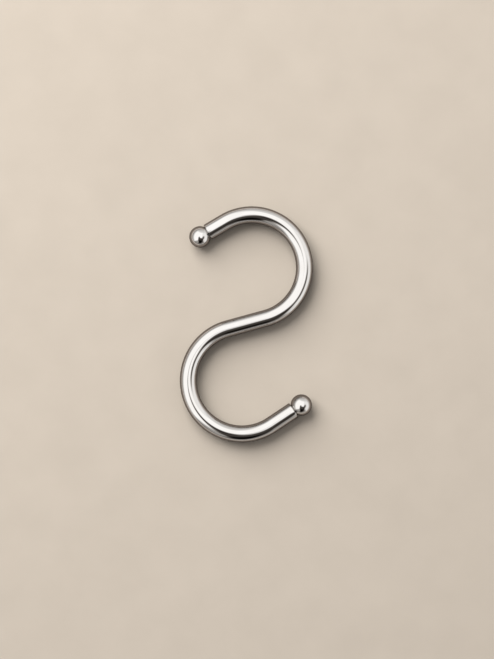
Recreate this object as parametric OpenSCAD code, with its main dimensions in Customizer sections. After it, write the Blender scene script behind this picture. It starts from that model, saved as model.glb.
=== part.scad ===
// S hook bent from round bar, with a solid ball welded on each end.
// It lies flat: every axis of the bar is in the plane Z = 0.
// Origin: centre of the upper bend, which is the axis of the rail it hangs on.
// +Y points up the load line, from the centre of the lower bend to the centre
// of the upper one. The upper hook opens towards -X, the lower towards +X.

/* [Bar] */
// Diameter of the round bar
bar_d = 5; // [3.5:0.1:6]
// Chamfer on the two cut ends of the bar
end_chamfer = 0.2; // [0.1:0.05:0.5]

/* [Upper hook] */
// Clear diameter inside the upper bend
upper_inside_d = 26.2; // [22:0.2:34]
// How far the upper bend carries on past its highest point, degrees
upper_wrap = 35.6; // [15:0.1:50]
// Straight length of bar from the upper bend to the centre of its ball
upper_tip_l = 8.6; // [5:0.1:14]

/* [Shank] */
// Straight length between the two bends
shank_l = 11.7; // [4:0.1:30]

/* [Lower hook] */
// Clear diameter inside the lower bend
lower_inside_d = 26.7; // [22:0.2:34]
// How far the lower bend carries on past its lowest point, degrees
lower_wrap = 38.7; // [15:0.1:50]
// Straight length of bar from the lower bend to the centre of its ball
lower_tip_l = 10.6; // [5:0.1:14]

/* [Ball ends] */
// Diameter of the balls
ball_d = 6.35; // [6.2:0.05:8]
// Diameter of the weld that joins each ball to the bar's end face
weld_d = 3.5; // [2.5:0.1:4.5]

/* [Hidden] */
$fn = 64;

// The straight lengths reach this far into the bends, and are this much
// thinner in radius, so the whole bar unites into one clean solid
lap = 0.02;
relief = 0.01;

// Bend radii at the middle of the bar
upper_r = (upper_inside_d + bar_d) / 2;
lower_r = (lower_inside_d + bar_d) / 2;

// The shank is the straight line that crosses between the two bend circles
// and touches both, so the bar runs through without a corner.
centre_gap = sqrt(pow(upper_r + lower_r, 2) + pow(shank_l, 2));
cross_a = asin((upper_r + lower_r) / centre_gap);

upper_c = [0, 0];
lower_c = [0, -centre_gap];
function on_circle(c, r, a) = c + r * [cos(a), sin(a)];

// Where the shank meets the bends, and where the bends run out into the tips
shank_top = on_circle(upper_c, upper_r, -cross_a);
shank_bottom = on_circle(lower_c, lower_r, 180 - cross_a);
upper_tip_a = 90 + upper_wrap;
lower_tip_a = 270 + lower_wrap;
upper_tip_p = on_circle(upper_c, upper_r, upper_tip_a);
lower_tip_p = on_circle(lower_c, lower_r, lower_tip_a);

// Each tip leaves its bend along the bend's tangent
upper_dir = upper_tip_a + 90;
lower_dir = lower_tip_a + 90;
upper_ball_c = on_circle(upper_tip_p, upper_tip_l, upper_dir);
lower_ball_c = on_circle(lower_tip_p, lower_tip_l, lower_dir);

// The bar's end face, inside its chamfer
face_d = bar_d - 2 * end_chamfer;

// The weld land: a flat on the ball, narrower than the bar's end face, so a
// groove runs round the joint. land_x is how far it is from the ball's centre.
land_x = sqrt(pow(ball_d, 2) - pow(weld_d, 2)) / 2;

// Part of a ring of round bar about c, from angle a to angle a + sweep
module bend(c, r, a, sweep) {
    translate([c.x, c.y, 0])
        rotate_extrude(angle = sweep, start = a)
            translate([r, 0]) circle(d = bar_d);
}

// Straight round bar from p, len long, in direction a, lapped at both ends
module straight(p, a, len) {
    translate([p.x, p.y, 0]) rotate([0, 0, a]) rotate([0, 90, 0])
        translate([0, 0, -lap])
            cylinder(h = len + 2 * lap, d = bar_d - 2 * relief);
}

// Straight bar that ends in a chamfered face, len long in all
module tip(p, a, len) {
    translate([p.x, p.y, 0]) rotate([0, 0, a]) rotate([0, 90, 0]) {
        translate([0, 0, -lap])
            cylinder(h = len - end_chamfer + lap, d = bar_d - 2 * relief);
        translate([0, 0, len - end_chamfer])
            cylinder(h = end_chamfer, d1 = bar_d - 2 * relief, d2 = face_d);
    }
}

// Solid ball with one flat, which faces back along the bar: half a disc,
// cut off at the land, turned round the bar's axis
module ball_end(c, a) {
    translate([c.x, c.y, 0]) rotate([0, 0, a + 180]) rotate([0, 90, 0])
        rotate_extrude()
            intersection() {
                circle(d = ball_d);
                translate([0, -ball_d]) square([ball_d, ball_d + land_x]);
            }
}

module bent_rod() {
    color("silver") union() {
        bend(upper_c, upper_r, -cross_a, upper_tip_a + cross_a);
        straight(shank_bottom, 90 - cross_a, shank_l);
        bend(lower_c, lower_r, 180 - cross_a, lower_tip_a - 180 + cross_a);
        tip(upper_tip_p, upper_dir, upper_tip_l - land_x);
        tip(lower_tip_p, lower_dir, lower_tip_l - land_x);
    }
}

module upper_ball() {
    color("gainsboro") ball_end(upper_ball_c, upper_dir);
}

module lower_ball() {
    color("gainsboro") ball_end(lower_ball_c, lower_dir);
}

bent_rod();
upper_ball();
lower_ball();
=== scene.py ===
import bpy
import math
import numpy as np
from mathutils import Matrix, Vector


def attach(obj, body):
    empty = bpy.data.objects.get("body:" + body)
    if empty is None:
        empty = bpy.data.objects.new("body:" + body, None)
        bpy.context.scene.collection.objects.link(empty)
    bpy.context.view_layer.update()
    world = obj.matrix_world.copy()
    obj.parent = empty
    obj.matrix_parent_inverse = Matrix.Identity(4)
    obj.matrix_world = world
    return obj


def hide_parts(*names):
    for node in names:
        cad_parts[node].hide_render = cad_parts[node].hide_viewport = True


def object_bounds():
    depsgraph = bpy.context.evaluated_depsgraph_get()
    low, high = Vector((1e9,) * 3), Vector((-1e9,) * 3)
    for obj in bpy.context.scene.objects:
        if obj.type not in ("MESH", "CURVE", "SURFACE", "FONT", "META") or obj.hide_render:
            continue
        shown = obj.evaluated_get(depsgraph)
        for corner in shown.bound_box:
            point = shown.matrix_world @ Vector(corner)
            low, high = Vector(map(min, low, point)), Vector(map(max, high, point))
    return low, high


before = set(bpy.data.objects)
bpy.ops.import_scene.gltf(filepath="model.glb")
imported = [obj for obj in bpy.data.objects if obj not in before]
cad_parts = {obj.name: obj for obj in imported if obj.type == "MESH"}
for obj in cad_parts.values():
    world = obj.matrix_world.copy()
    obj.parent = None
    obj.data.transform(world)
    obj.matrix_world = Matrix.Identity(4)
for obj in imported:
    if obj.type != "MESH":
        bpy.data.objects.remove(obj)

cad_lo, cad_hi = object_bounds()

# ---------------------------------------------------------------- dimensions
# The same driving sizes as the construction, in metres and radians.
BAR_R = 0.0025
CHAMFER = 0.0002
BALL_R = 0.003175
R_UP, R_LO = 0.0156, 0.01585
SHANK = 0.0117
WRAP_UP, WRAP_LO = math.radians(35.6), math.radians(38.7)
TIP_UP, TIP_LO = 0.0086, 0.0106

GAP = math.hypot(R_UP + R_LO, SHANK)
CROSS = math.asin((R_UP + R_LO) / GAP)
FACE_R = BAR_R - CHAMFER          # the bar's end face
WELD_R = 0.00175                  # the land on the ball, where the two are joined
LAND_X = math.sqrt(BALL_R ** 2 - WELD_R ** 2)

C_UP, C_LO = np.array([0.0, 0.0]), np.array([0.0, -GAP])


def unit(a):
    return np.array([math.cos(a), math.sin(a)])


# ------------------------------------------------------------ the bar's route
def route(step):
    """Points and tangents along the middle of the bar, from the upper end face to the lower, with distances from the start."""
    pts, tan = [], []

    def line(p, a, length, last=False):
        n = max(2, int(round(length / step)))
        for i in range(n + (1 if last else 0)):
            pts.append(p + unit(a) * length * i / n)
            tan.append(unit(a))

    def arc(c, r, a0, a1):
        n = max(8, int(round(abs(a1 - a0) * r / step)))
        s = 1.0 if a1 > a0 else -1.0
        for i in range(n):
            a = a0 + (a1 - a0) * i / n
            pts.append(c + r * unit(a))
            tan.append(s * unit(a + math.pi / 2))

    up0 = math.pi / 2 + WRAP_UP
    lo1 = 1.5 * math.pi + WRAP_LO
    tip = C_UP + R_UP * unit(up0)
    # the upper tip, walked from its end face towards the bend
    d = up0 + math.pi / 2
    line(tip + unit(d) * (TIP_UP - LAND_X), d + math.pi, TIP_UP - LAND_X)
    arc(C_UP, R_UP, up0, -CROSS)
    p = C_UP + R_UP * unit(-CROSS)
    q = C_LO + R_LO * unit(math.pi - CROSS)
    sh = math.atan2(*(q - p)[::-1])
    line(p, sh, float(np.hypot(*(q - p))))
    arc(C_LO, R_LO, math.pi - CROSS, lo1)
    line(C_LO + R_LO * unit(lo1), lo1 + math.pi / 2, TIP_LO - LAND_X, last=True)
    pts, tan = np.array(pts), np.array(tan)
    s = np.r_[0, np.cumsum(np.hypot(*np.diff(pts, axis=0).T))]
    return pts, tan, s


def make_mesh(name, verts, faces, uvs=None):
    me = bpy.data.meshes.new(name)
    me.from_pydata(verts.tolist(), [], faces)
    if uvs is not None:
        lay = me.uv_layers.new(name="length_round")
        idx = np.empty(len(me.loops), dtype=np.int32)
        me.loops.foreach_get("vertex_index", idx)
        uv = uvs(me, idx)
        lay.data.foreach_set("uv", np.asarray(uv, dtype=np.float32).ravel())
    me.validate()
    me.shade_smooth()
    o = bpy.data.objects.new(name, me)
    bpy.context.scene.collection.objects.link(o)
    return o


def rounded(points, radius, n=5):
    """A profile of straight runs with each inner corner turned into a small arc."""
    out = [np.array(points[0], float)]
    for a, b, c in zip(points, points[1:], points[2:]):
        a, b, c = (np.array(v, float) for v in (a, b, c))
        u, v = (a - b) / np.hypot(*(a - b)), (c - b) / np.hypot(*(c - b))
        half = math.acos(max(-1, min(1, float(u @ v)))) / 2
        t = min(radius / math.tan(half), 0.45 * np.hypot(*(a - b)), 0.45 * np.hypot(*(c - b)))
        p0, p1 = b + u * t, b + v * t
        for i in range(n + 1):
            k = i / n
            out.append((1 - k) ** 2 * p0 + 2 * k * (1 - k) * b + k ** 2 * p1)
    out.append(np.array(points[-1], float))
    return np.array(out)


# -------------------------------------------------------------- the bent bar
def build_rod():
    pts, tan, s = route(0.00024)
    total = s[-1]
    # The end profile: (distance from the end face, radius)
    end = rounded([(0.0, FACE_R - 0.00035), (0.0, FACE_R), (CHAMFER, BAR_R), (CHAMFER + 0.0012, BAR_R)], 0.00004)
    end = np.vstack([[0.0, 0.0009], end])
    ends_s = end[:, 0]
    mid = s[(s > ends_s[-1] + 0.0001) & (s < total - ends_s[-1] - 0.0001)]
    S = np.r_[ends_s, mid, total - ends_s[::-1]]
    Rr = np.r_[end[:, 1], np.full(len(mid), BAR_R), end[::-1, 1]]
    P = np.c_[np.interp(S, s, pts[:, 0]), np.interp(S, s, pts[:, 1])]
    ang = np.unwrap(np.arctan2(tan[:, 1], tan[:, 0]))
    A = np.interp(S, s, ang)
    K = 96
    th = 2 * np.pi * np.arange(K) / K
    n = np.c_[-np.sin(A), np.cos(A)]
    V = np.zeros((len(S), K, 3))
    V[:, :, 0] = P[:, None, 0] + Rr[:, None] * np.cos(th)[None] * n[:, None, 0]
    V[:, :, 1] = P[:, None, 1] + Rr[:, None] * np.cos(th)[None] * n[:, None, 1]
    V[:, :, 2] = Rr[:, None] * np.sin(th)[None]
    verts = V.reshape(-1, 3)
    c0, c1 = len(verts), len(verts) + 1
    verts = np.vstack([verts, [[*P[0], 0.0], [*P[-1], 0.0]]])
    i = np.arange(len(S) - 1)[:, None]
    j = np.arange(K)[None]
    a = i * K + j
    b = i * K + (j + 1) % K
    quads = np.stack([a, a + K, b + K, b], -1).reshape(-1, 4)
    faces = [tuple(int(x) for x in q) for q in quads[:, ::-1]]
    last = (len(S) - 1) * K
    faces += [(c0, (k + 1) % K, k) for k in range(K)]
    faces += [(c1, last + k, last + (k + 1) % K) for k in range(K)]
    ring = np.r_[np.repeat(np.arange(len(S)), K), 0, len(S) - 1]
    col = np.r_[np.tile(np.arange(K), len(S)), 0, 0]

    def uvs(me, idx):
        # metres along and round the bar, scaled so 1 unit is 100 mm
        u = S[ring[idx]] * 10.0
        v = col[idx] / K * (2 * math.pi * BAR_R) * 10.0
        # close the seam: a loop's vertices span less than half the way round
        start = np.empty(len(me.polygons), dtype=np.int32)
        tot = np.empty(len(me.polygons), dtype=np.int32)
        me.polygons.foreach_get("loop_start", start)
        me.polygons.foreach_get("loop_total", tot)
        poly = np.repeat(np.arange(len(start)), tot)
        top = np.zeros(len(start))
        np.maximum.at(top, poly, v)
        full = 2 * math.pi * BAR_R * 10.0
        v = np.where((top[poly] - v) > full / 2, v + full, v)
        return np.c_[u, v]

    return make_mesh("bar", verts, faces, uvs)


# ------------------------------------------------------------------ the balls
def build_ball(name, centre, towards):
    """A ball with a flat land that faces along `towards`, turned about that axis."""
    edge = math.acos(LAND_X / BALL_R)
    prof = [(LAND_X, 0.0008)]
    for a in np.linspace(edge, math.pi, 80)[:-1]:
        prof.append((BALL_R * math.cos(a), BALL_R * math.sin(a)))
    prof = np.array(prof)
    K = 112
    th = 2 * np.pi * np.arange(K) / K
    d = np.array([math.cos(towards), math.sin(towards), 0.0])
    e = np.array([-d[1], d[0], 0.0])
    z = np.array([0.0, 0.0, 1.0])
    C = np.array([centre[0], centre[1], 0.0])
    V = C + prof[:, None, :1] * d + prof[:, None, 1:] * (np.cos(th)[None, :, None] * e + np.sin(th)[None, :, None] * z)
    verts = V.reshape(-1, 3)
    c0, c1 = len(verts), len(verts) + 1
    verts = np.vstack([verts, [C + LAND_X * d, C - BALL_R * d]])
    i = np.arange(len(prof) - 1)[:, None]
    j = np.arange(K)[None]
    a = i * K + j
    b = i * K + (j + 1) % K
    quads = np.stack([a, b, b + K, a + K], -1).reshape(-1, 4)
    faces = [tuple(int(x) for x in q) for q in quads[:, ::-1]]
    last = (len(prof) - 1) * K
    faces += [(c0, k, (k + 1) % K) for k in range(K)]
    faces += [(c1, last + (k + 1) % K, last + k) for k in range(K)]
    return make_mesh(name, verts, faces)


def outward(o):
    """Makes every face look out of the closed mesh."""
    import bmesh
    bm = bmesh.new()
    bm.from_mesh(o.data)
    bmesh.ops.recalc_face_normals(bm, faces=bm.faces)
    bm.to_mesh(o.data)
    bm.free()
    o.data.shade_smooth()


rod = build_rod()
up_dir = math.pi + WRAP_UP
lo_dir = WRAP_LO
up_c = C_UP + R_UP * unit(math.pi / 2 + WRAP_UP) + TIP_UP * unit(up_dir)
lo_c = C_LO + R_LO * unit(1.5 * math.pi + WRAP_LO) + TIP_LO * unit(lo_dir)
ball_up = build_ball("ball_upper", up_c, up_dir + math.pi)
ball_lo = build_ball("ball_lower", lo_c, lo_dir + math.pi)
for o in (rod, ball_up, ball_lo):
    outward(o)


# ------------------------------------------------------------------ materials
def nodes_of(mat):
    mat.use_nodes = True
    nt = mat.node_tree
    nt.nodes.clear()
    return nt


def node(nt, kind, x=0, y=0, **props):
    n = nt.nodes.new(kind)
    n.location = (x, y)
    for k, v in props.items():
        setattr(n, k, v)
    return n


def steel(name, colour, lined):
    mat = bpy.data.materials.new(name)
    nt = nodes_of(mat)
    L = nt.links
    out = node(nt, "ShaderNodeOutputMaterial", 900)
    bsdf = node(nt, "ShaderNodeBsdfPrincipled", 600)
    L.new(bsdf.outputs["BSDF"], out.inputs["Surface"])
    bsdf.inputs["Metallic"].default_value = 1.0
    tc = node(nt, "ShaderNodeTexCoord", -1400)

    # soft waviness of a bar that was bent and then buffed, some millimetres long
    wave = node(nt, "ShaderNodeTexNoise", -900, -300)
    wave.inputs["Scale"].default_value = 260.0
    wave.inputs["Detail"].default_value = 1.5
    wave.inputs["Roughness"].default_value = 0.45
    L.new(tc.outputs["Object"], wave.inputs["Vector"])

    # fine polishing lines: long thin streaks along the bar, or crossing ones on the balls
    stretch = node(nt, "ShaderNodeMapping", -1150, -600)
    stretch.inputs["Scale"].default_value = (60.0, 2600.0, 1.0) if lined else (900.0, 5200.0, 2600.0)
    L.new(tc.outputs["UV" if lined else "Object"], stretch.inputs["Vector"])
    lines = node(nt, "ShaderNodeTexNoise", -900, -600)
    lines.inputs["Scale"].default_value = 1.0
    lines.inputs["Detail"].default_value = 3.0
    lines.inputs["Roughness"].default_value = 0.6
    L.new(stretch.outputs["Vector"], lines.inputs["Vector"])

    # smears left by handling
    smear = node(nt, "ShaderNodeTexNoise", -900, 100)
    smear.inputs["Scale"].default_value = 150.0
    smear.inputs["Detail"].default_value = 4.0
    smear.inputs["Roughness"].default_value = 0.55
    smear.inputs["Distortion"].default_value = 0.6
    L.new(tc.outputs["Object"], smear.inputs["Vector"])

    # roughness: mirror bright, a little duller in the smears and along the lines
    r1 = node(nt, "ShaderNodeMapRange", -600, 100)
    r1.inputs["From Min"].default_value = 0.42
    r1.inputs["From Max"].default_value = 0.72
    r1.inputs["To Min"].default_value = 0.02
    r1.inputs["To Max"].default_value = 0.05
    L.new(smear.outputs["Fac"], r1.inputs["Value"])
    r2 = node(nt, "ShaderNodeMapRange", -600, -150)
    r2.inputs["From Min"].default_value = 0.5
    r2.inputs["From Max"].default_value = 0.8
    r2.inputs["To Min"].default_value = 0.0
    r2.inputs["To Max"].default_value = 0.05
    L.new(lines.outputs["Fac"], r2.inputs["Value"])
    add = node(nt, "ShaderNodeMath", -350, 0, operation="ADD")
    L.new(r1.outputs["Result"], add.inputs[0])
    L.new(r2.outputs["Result"], add.inputs[1])
    L.new(add.outputs["Value"], bsdf.inputs["Roughness"])

    # colour: neutral steel, a touch warmer and darker in the smears
    ramp = node(nt, "ShaderNodeValToRGB", -350, 350)
    ramp.color_ramp.elements[0].position = 0.35
    ramp.color_ramp.elements[0].color = (*colour, 1)
    ramp.color_ramp.elements[1].position = 0.75
    ramp.color_ramp.elements[1].color = (*(c * k for c, k in zip(colour, (0.95, 0.94, 0.925))), 1)
    L.new(smear.outputs["Fac"], ramp.inputs["Fac"])
    L.new(ramp.outputs["Color"], bsdf.inputs["Base Color"])

    # bump: waviness first, then the lines
    b1 = node(nt, "ShaderNodeBump", 50, -300)
    b1.inputs["Strength"].default_value = 1.0
    b1.inputs["Distance"].default_value = 0.000008
    L.new(wave.outputs["Fac"], b1.inputs["Height"])
    b2 = node(nt, "ShaderNodeBump", 300, -400)
    b2.inputs["Strength"].default_value = 1.0
    b2.inputs["Distance"].default_value = 0.0000006
    L.new(lines.outputs["Fac"], b2.inputs["Height"])
    L.new(b1.outputs["Normal"], b2.inputs["Normal"])
    L.new(b2.outputs["Normal"], bsdf.inputs["Normal"])
    return mat


bar_mat = steel("polished_bar", (0.655, 0.645, 0.632), True)
ball_mat = steel("polished_ball", (0.66, 0.65, 0.637), False)
rod.data.materials.append(bar_mat)
ball_up.data.materials.append(ball_mat)
ball_lo.data.materials.append(ball_mat)

for piece, name, slot in (
    (rod, "bent_rod", "polished_bar"),
    (ball_up, "upper_ball", "polished_ball"),
    (ball_lo, "lower_ball", "polished_ball"),
):
    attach(piece, "root")
    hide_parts(name)

# ---------------------------------------------------------------------- stage
FLOOR_Z = cad_lo.z
FLOOR_A, FLOOR_B = (0.212, 0.188, 0.160), (0.222, 0.197, 0.168)
# the floor as the polished steel mirrors it, a painted reflection with painted shade: darker the nearer it lies to the
# steel, right under the object: (distance from the steel, colour)
FLOOR_SHADE_PAINTED_IN_STEEL = ((0.004, (0.050, 0.041, 0.035)), (0.008, (0.074, 0.060, 0.050)), (0.014, (0.100, 0.084, 0.072)),
                  (0.026, (0.148, 0.130, 0.116)), (0.060, (0.280, 0.258, 0.238)))
MID = Vector((0.0, -GAP / 2, 0.0))
TILT = math.radians(5.05)          # the load line leans this much in the picture
IMG_X = Vector((math.cos(TILT), math.sin(TILT), 0.0))
IMG_Y = Vector((-math.sin(TILT), math.cos(TILT), 0.0))


def floor():
    """A wide flat disc."""
    prof = [(0.0, 0.0), (0.06, 0.0), (0.12, 0.0), (0.3, 0.0), (0.85, 0.0)]
    K = 96
    verts, faces = [(MID.x, MID.y, FLOOR_Z)], []
    for r, h in prof[1:]:
        for k in range(K):
            a = 2 * math.pi * k / K
            verts.append((MID.x + r * math.cos(a), MID.y + r * math.sin(a), FLOOR_Z + h))
    for k in range(K):
        faces.append((0, 1 + k, 1 + (k + 1) % K))
    for i in range(len(prof) - 2):
        for k in range(K):
            a, b = 1 + i * K + k, 1 + i * K + (k + 1) % K
            faces.append((a, a + K, b + K, b))
    me = bpy.data.meshes.new("floor")
    me.from_pydata(verts, [], faces)
    me.shade_smooth()
    o = bpy.data.objects.new("floor", me)
    bpy.context.scene.collection.objects.link(o)
    mat = bpy.data.materials.new("floor")
    nt = nodes_of(mat)
    L = nt.links
    out = node(nt, "ShaderNodeOutputMaterial", 600)
    bsdf = node(nt, "ShaderNodeBsdfPrincipled", 300)
    L.new(bsdf.outputs["BSDF"], out.inputs["Surface"])
    bsdf.inputs["Roughness"].default_value = 0.85
    bsdf.inputs["Specular IOR Level"].default_value = 0.15
    tc = node(nt, "ShaderNodeTexCoord", -900)
    nz = node(nt, "ShaderNodeTexNoise", -600)
    nz.inputs["Scale"].default_value = 90.0
    nz.inputs["Detail"].default_value = 5.0
    L.new(tc.outputs["Object"], nz.inputs["Vector"])
    ramp = node(nt, "ShaderNodeValToRGB", -300)
    ramp.color_ramp.elements[0].position = 0.3
    ramp.color_ramp.elements[0].color = (*FLOOR_A, 1)
    ramp.color_ramp.elements[1].position = 0.7
    ramp.color_ramp.elements[1].color = (*FLOOR_B, 1)
    L.new(nz.outputs["Fac"], ramp.inputs["Fac"])
    # glossy rays see the floor with painted shade, darker the shorter the ray; other rays see the plain floor colour
    path = node(nt, "ShaderNodeLightPath", -300, 300)
    mix = node(nt, "ShaderNodeMix", 0, 100, data_type="RGBA")
    L.new(path.outputs["Is Glossy Ray"], mix.inputs[0])
    L.new(ramp.outputs["Color"], mix.inputs[6])
    far = node(nt, "ShaderNodeMapRange", -300, 500)
    far.inputs["From Min"].default_value = FLOOR_SHADE_PAINTED_IN_STEEL[0][0]
    far.inputs["From Max"].default_value = FLOOR_SHADE_PAINTED_IN_STEEL[-1][0]
    L.new(path.outputs["Ray Length"], far.inputs["Value"])
    seen = node(nt, "ShaderNodeValToRGB", -150, 500)
    e = seen.color_ramp.elements
    span = FLOOR_SHADE_PAINTED_IN_STEEL[-1][0] - FLOOR_SHADE_PAINTED_IN_STEEL[0][0]
    e[0].color, e[1].color = (*FLOOR_SHADE_PAINTED_IN_STEEL[0][1], 1), (*FLOOR_SHADE_PAINTED_IN_STEEL[-1][1], 1)
    for dist, c in FLOOR_SHADE_PAINTED_IN_STEEL[1:-1]:
        e.new((dist - FLOOR_SHADE_PAINTED_IN_STEEL[0][0]) / span).color = (*c, 1)
    L.new(far.outputs["Result"], seen.inputs["Fac"])
    L.new(seen.outputs["Color"], mix.inputs[7])
    L.new(mix.outputs[2], bsdf.inputs["Base Color"])
    me.materials.append(mat)
    return o


floor()

# ---------------------------------------------------------------------- light
scene = bpy.context.scene
EDGE = 0.55                        # how soft the flags' edges are
WHITE = 1.56                       # how bright the studio's white is, so that the steel shows it just short of pure white


def studio():
    """A white tent that darkens towards the horizon, with soft dark flags over the foot of the set.

    It is worked out in the plane (x, y) / (1 + z) of the direction, with x and y along the picture's sides."""
    world = bpy.data.worlds.new("studio")
    scene.world = world
    world.use_nodes = True
    nt = world.node_tree
    nt.nodes.clear()
    L = nt.links
    tc = node(nt, "ShaderNodeTexCoord", -2200)
    rot = node(nt, "ShaderNodeVectorRotate", -2000, rotation_type="Z_AXIS")
    rot.inputs["Angle"].default_value = -TILT
    L.new(tc.outputs["Generated"], rot.inputs["Vector"])
    sep = node(nt, "ShaderNodeSeparateXYZ", -1800, 200)
    L.new(rot.outputs["Vector"], sep.inputs["Vector"])
    up = node(nt, "ShaderNodeMath", -1600, 200, operation="ADD")
    L.new(sep.outputs["Z"], up.inputs[0])
    up.inputs[1].default_value = 1.0001
    flat = node(nt, "ShaderNodeVectorMath", -1800, -100, operation="MULTIPLY")
    L.new(rot.outputs["Vector"], flat.inputs[0])
    flat.inputs[1].default_value = (1, 1, 0)
    inv = node(nt, "ShaderNodeMath", -1400, 200, operation="DIVIDE")
    inv.inputs[0].default_value = 1.0
    L.new(up.outputs["Value"], inv.inputs[1])
    q = node(nt, "ShaderNodeVectorMath", -1200, 0, operation="SCALE")
    L.new(flat.outputs["Vector"], q.inputs[0])
    L.new(inv.outputs["Value"], q.inputs["Scale"])

    lean = node(nt, "ShaderNodeVectorMath", -1200, 400, operation="DOT_PRODUCT")
    L.new(rot.outputs["Vector"], lean.inputs[0])
    lean.inputs[1].default_value = (0.163, -0.135, 1.0)
    base = node(nt, "ShaderNodeMapRange", -1000, 400, interpolation_type="SMOOTHSTEP")
    base.inputs["From Min"].default_value = -0.23
    base.inputs["From Max"].default_value = 0.44
    base.inputs["To Min"].default_value = 0.44
    base.inputs["To Max"].default_value = 1.0
    L.new(lean.outputs["Value"], base.inputs["Value"])
    value = base.outputs["Result"]
    # centre x, y, turn, half size x, y, solid share, depth
    for k, (cx, cy, r, sx, sy, r0, depth) in enumerate((
        (-0.07, -0.116, -0.29, 0.133, 0.213, 0.01, 0.74),
        (0.023, -0.590, -0.34, 0.253, 0.301, 0.26, 0.96),
        (0.321, -0.159, -0.48, 0.215, 0.404, 0.02, 0.63),
        (0.079, -0.373, 0.87, 0.333, 0.390, 0.39, 0.76),
        (1.02, -0.121, 0.91, 0.764, 1.000, 0.73, 0.11),
        (0.207, -0.794, 0.0, 0.655, 0.349, 0.39, 0.37),
        (0.175, 0.581, -1.71, 0.344, 0.638, 0.05, 0.21),
        (-0.169, -0.652, 1.77, 0.450, 1.000, 0.25, 0.44),
    )):
        m = node(nt, "ShaderNodeMapping", -1000, -200 * k, vector_type="TEXTURE")
        m.inputs["Location"].default_value = (cx, cy, 0)
        m.inputs["Rotation"].default_value = (0, 0, r)
        m.inputs["Scale"].default_value = (sx, sy, 1)
        L.new(q.outputs["Vector"], m.inputs["Vector"])
        d = node(nt, "ShaderNodeVectorMath", -800, -200 * k, operation="LENGTH")
        L.new(m.outputs["Vector"], d.inputs[0])
        s_ = node(nt, "ShaderNodeMapRange", -600, -200 * k, interpolation_type="SMOOTHSTEP")
        s_.inputs["From Min"].default_value = (1 + r0) / 2 - EDGE * (1 - r0) / 2
        s_.inputs["From Max"].default_value = (1 + r0) / 2 + EDGE * (1 - r0) / 2
        s_.inputs["To Min"].default_value = 1.0 - depth
        s_.inputs["To Max"].default_value = 1.0
        L.new(d.outputs["Value"], s_.inputs["Value"])
        mul = node(nt, "ShaderNodeMath", -400, -200 * k, operation="MULTIPLY")
        L.new(value, mul.inputs[0])
        L.new(s_.outputs["Result"], mul.inputs[1])
        value = mul.outputs["Value"]
    ramp = node(nt, "ShaderNodeValToRGB", 0)
    e = ramp.color_ramp.elements
    stops = [(0.0, (0.0, 0.0, 0.0)), (0.2, (0.036, 0.031, 0.028)), (0.4, (0.143, 0.131, 0.121)), (0.6, (0.338, 0.323, 0.309)),
             (0.8, (0.618, 0.605, 0.594)), (0.98, (0.968, 0.955, 0.945))]
    e[0].position, e[0].color = stops[0][0], (*stops[0][1], 1)
    e[1].position, e[1].color = stops[-1][0], (*stops[-1][1], 1)
    for pos, c in stops[1:-1]:
        n_ = e.new(pos)
        n_.color = (*c, 1)
    L.new(value, ramp.inputs["Fac"])
    # behind the set the camera sees a plain pale wall
    path = node(nt, "ShaderNodeLightPath", 200, 400)
    tent = node(nt, "ShaderNodeBackground", 400)
    tent.inputs["Strength"].default_value = WHITE
    L.new(ramp.outputs["Color"], tent.inputs["Color"])
    wall = node(nt, "ShaderNodeBackground", 400, -200)
    wall.inputs["Color"].default_value = (*WALL, 1)
    mix = node(nt, "ShaderNodeMixShader", 650)
    L.new(path.outputs["Is Camera Ray"], mix.inputs["Fac"])
    L.new(tent.outputs["Background"], mix.inputs[1])
    L.new(wall.outputs["Background"], mix.inputs[2])
    out = node(nt, "ShaderNodeOutputWorld", 850)
    L.new(mix.outputs["Shader"], out.inputs["Surface"])


WALL = (0.63, 0.57, 0.49)
studio()


def softbox(name, phi, beta, dist, w, h, power, colour):
    a, b = math.radians(phi), math.radians(beta)
    d = (IMG_X * math.cos(a) + IMG_Y * math.sin(a)) * math.sin(b) + Vector((0, 0, math.cos(b)))
    li = bpy.data.lights.new(name, "AREA")
    li.shape = "RECTANGLE"
    li.size, li.size_y = w, h
    li.energy = power
    li.color = colour
    o = bpy.data.objects.new(name, li)
    o.location = MID + d * dist
    o.rotation_mode = "QUATERNION"
    o.rotation_quaternion = d.to_track_quat("Z", "Y")
    o.visible_glossy = False        # the steel mirrors the tent alone
    scene.collection.objects.link(o)
    return o


softbox("key", 126, 50, 1.0, 0.95, 0.95, 42.0, (1.0, 0.985, 0.965))

# --------------------------------------------------------------------- camera
PX = 0.0700 / 236.4                # metres a pixel at the bar's level
DIST = 0.60
aim = MID + IMG_X * (247.0 - 246.8) * PX - IMG_Y * (329.5 - 323.93) * PX
cam_data = bpy.data.cameras.new("camera")
cam_data.sensor_fit = "AUTO"
cam_data.sensor_width = 36.0
cam_data.lens = 36.0 * DIST / (659 * PX)
cam_data.clip_start, cam_data.clip_end = 0.01, 20.0
cam = bpy.data.objects.new("camera", cam_data)
cam.matrix_world = Matrix((
    (IMG_X.x, IMG_Y.x, 0.0, aim.x),
    (IMG_X.y, IMG_Y.y, 0.0, aim.y),
    (0.0, 0.0, 1.0, DIST),
    (0.0, 0.0, 0.0, 1.0)))
scene.collection.objects.link(cam)
scene.camera = cam

scene.view_settings.view_transform = "Standard"
scene.view_settings.look = "None"
scene.view_settings.exposure = 0.0
scene.view_settings.gamma = 1.0
